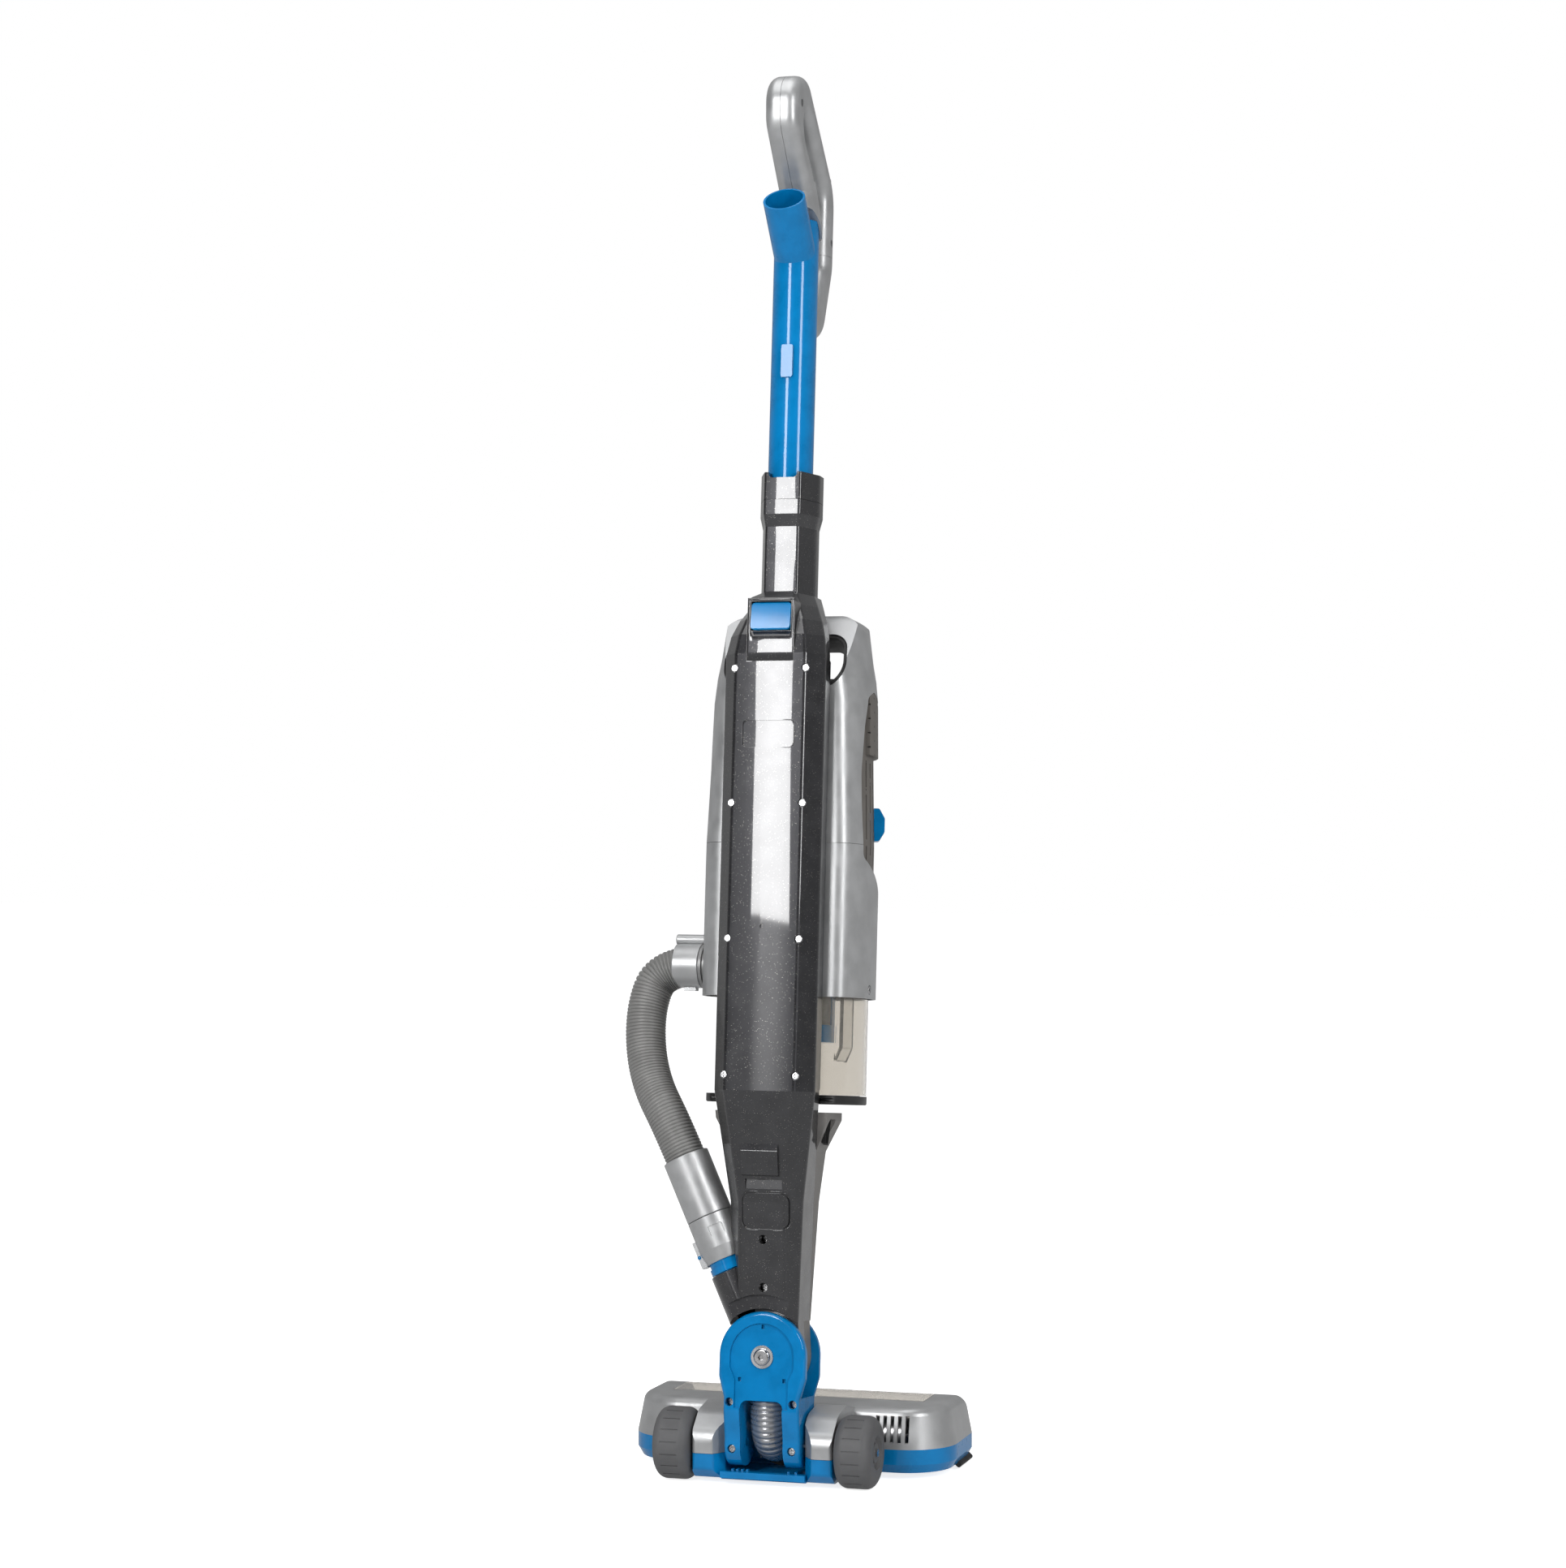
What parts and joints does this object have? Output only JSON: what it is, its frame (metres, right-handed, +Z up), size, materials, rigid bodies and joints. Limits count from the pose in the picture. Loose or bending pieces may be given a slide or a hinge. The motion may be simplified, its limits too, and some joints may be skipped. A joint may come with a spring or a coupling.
{
  "type": "cordless stick vacuum cleaner",
  "caption": "Upright cordless vacuum: swivel floor head with brush roll, slim spine, lift-off cyclone canister with clear bin and hose, hollow wand with angled port and loop handle.",
  "frame": {"origin": "on the floor, under the centre of the floor head's footprint (front edge to the back of the rear wheels)", "axes": "+Z up from the floor, -Y is the front of the cleaner, +X is the side of the external hose"},
  "size_m": [0.2685, 0.18, 1.1244],
  "materials": {
    "graphite": "glossy dark grey moulding with fine metallic flecks",
    "blue": "gloss blue moulding",
    "silver": "satin silver pearl moulding",
    "wheel_grey": "matte mid-dark grey tread",
    "hose_grey": "satin grey corrugated hose",
    "airway_grey": "satin light grey corrugated hose",
    "grille_taupe": "matte dark warm grey",
    "black": "matte black moulding",
    "soft_black": "soft black rubber",
    "bristle": "stiff nylon bristle",
    "clear": "clear moulding with a slight warm tint",
    "zinc": "bright zinc plate",
    "metal_can": "drawn metal can",
    "board": "green circuit board",
    "white_fan": "natural nylon",
    "filter_white": "pleated filter cloth",
    "felt": "black pile strip"
  },
  "bodies": {
    "head": {"head_base": "blue", "head_upper_shell": "silver", "brush_window": "clear", "brush_motor": "metal_can", "drive_belt": "soft_black", "head_pins": "zinc", "airway_spigot": "black", "sole_felt": "felt", "edge_flaps": "soft_black", "sole_screws": "zinc", "brush_bearings": "black"},
    "brush": {"brush_core": "black", "brush_bristles": "bristle"},
    "brush_motor_shaft": {"motor_pulley": "metal_can"},
    "left_wheel": {"wheel_left": "wheel_grey"},
    "right_wheel": {"wheel_right": "wheel_grey"},
    "left_roller": {"roller_left": "black"},
    "right_roller": {"roller_right": "black"},
    "fork": {"fork_body": "blue", "fork_rear_cover": "blue", "fork_screws": "zinc", "swivel_bolt": "zinc", "airway_hose": "airway_grey"},
    "spine": {"spine_rear_shell": "graphite", "spine_front_shell": "silver", "spine_front_panel": "graphite", "spine_screws": "zinc", "neck_collar": "graphite", "button_spring": "zinc", "hose_tip": "blue", "hose_lower_cuff": "silver", "hose_upper_cuff": "silver", "main_hose": "hose_grey"},
    "button": {"release_button": "blue"},
    "canister": {"canister_housing": "silver", "canister_shroud": "silver", "exhaust_grille": "grille_taupe", "front_band": "grille_taupe", "grip_liner": "soft_black", "fan_motor": "metal_can", "fan_volute": "black", "battery_pack": "metal_can", "control_board": "board", "dust_bin": "clear", "lid_hinge_pin": "zinc", "filter_cage": "blue", "filter_media": "filter_white", "dust_baffle": "black", "hose_inlet": "black", "inlet_cuff": "silver", "shroud_screw": "zinc"},
    "fan": {"impeller": "white_fan"},
    "lid": {"bin_lid": "black"},
    "switch": {"power_slider": "blue"},
    "wand": {"wand_tube": "blue", "handle_left": "silver", "handle_right": "silver", "handle_bracket": "silver", "handle_screws": "zinc"}
  },
  "joints": [
    {"name": "fork_tilt", "type": "hinge", "parent": "head", "child": "fork", "pos_m": [0, 0.0615, 0.032], "axis": [-1, 0, 0], "range_deg": [0, 70], "deforming": ["airway_hose"]},
    {"name": "neck_swivel", "type": "hinge", "parent": "fork", "child": "spine", "pos_m": [0, 0.05518, 0.10011], "axis": [0, 0.9957, 0.0924], "range_deg": [-40, 40]},
    {"name": "wheel_left_spin", "type": "hinge", "parent": "head", "child": "left_wheel", "pos_m": [0.0745, 0.0615, 0.0285], "axis": [1, 0, 0], "continuous": true},
    {"name": "wheel_right_spin", "type": "hinge", "parent": "head", "child": "right_wheel", "pos_m": [-0.0745, 0.0615, 0.0285], "axis": [1, 0, 0], "continuous": true},
    {"name": "roller_left_spin", "type": "hinge", "parent": "head", "child": "left_roller", "pos_m": [0.088, -0.0165, 0.0065], "axis": [1, 0, 0], "continuous": true},
    {"name": "roller_right_spin", "type": "hinge", "parent": "head", "child": "right_roller", "pos_m": [-0.088, -0.0165, 0.0065], "axis": [1, 0, 0], "continuous": true},
    {"name": "brush_spin", "type": "hinge", "parent": "head", "child": "brush", "pos_m": [0, -0.0565, 0.025], "axis": [1, 0, 0], "continuous": true},
    {"name": "brush_motor_spin", "type": "hinge", "parent": "head", "child": "brush_motor_shaft", "pos_m": [-0.1, -0.0065, 0.031], "axis": [1, 0, 0], "continuous": true},
    {"name": "canister_lift", "type": "slide", "parent": "spine", "child": "canister", "axis": [0, -0.7694, 0.6388], "range_m": [0, 0.12], "deforming": ["main_hose"]},
    {"name": "bin_lid_swing", "type": "hinge", "parent": "canister", "child": "lid", "pos_m": [0, 0.05138, 0.30353], "axis": [1, 0, 0], "range_deg": [0, 90]},
    {"name": "fan_spin", "type": "hinge", "parent": "canister", "child": "fan", "pos_m": [0, -0.0067, 0.48564], "axis": [0, -0.0924, 0.9957], "continuous": true},
    {"name": "power_slide", "type": "slide", "parent": "canister", "child": "switch", "axis": [0, -0.0924, 0.9957], "range_m": [0, 0.008]},
    {"name": "release_press", "type": "slide", "parent": "spine", "child": "button", "axis": [0, -0.9957, -0.0924], "range_m": [0, 0.004], "stiffness_N_per_m": 400, "springref_m": -0.002, "deforming": ["button_spring"]},
    {"name": "wand_slide", "type": "slide", "parent": "spine", "child": "wand", "axis": [0, -0.0924, 0.9957], "range_m": [0, 0.125]}
  ],
  "couplings": [
    {"joint": "brush_motor_spin", "follows": "brush_spin", "ratio": 1.8},
    {"joint": "bin_lid_swing", "follows": "canister_lift", "rad_per_m": 13}
  ]
}
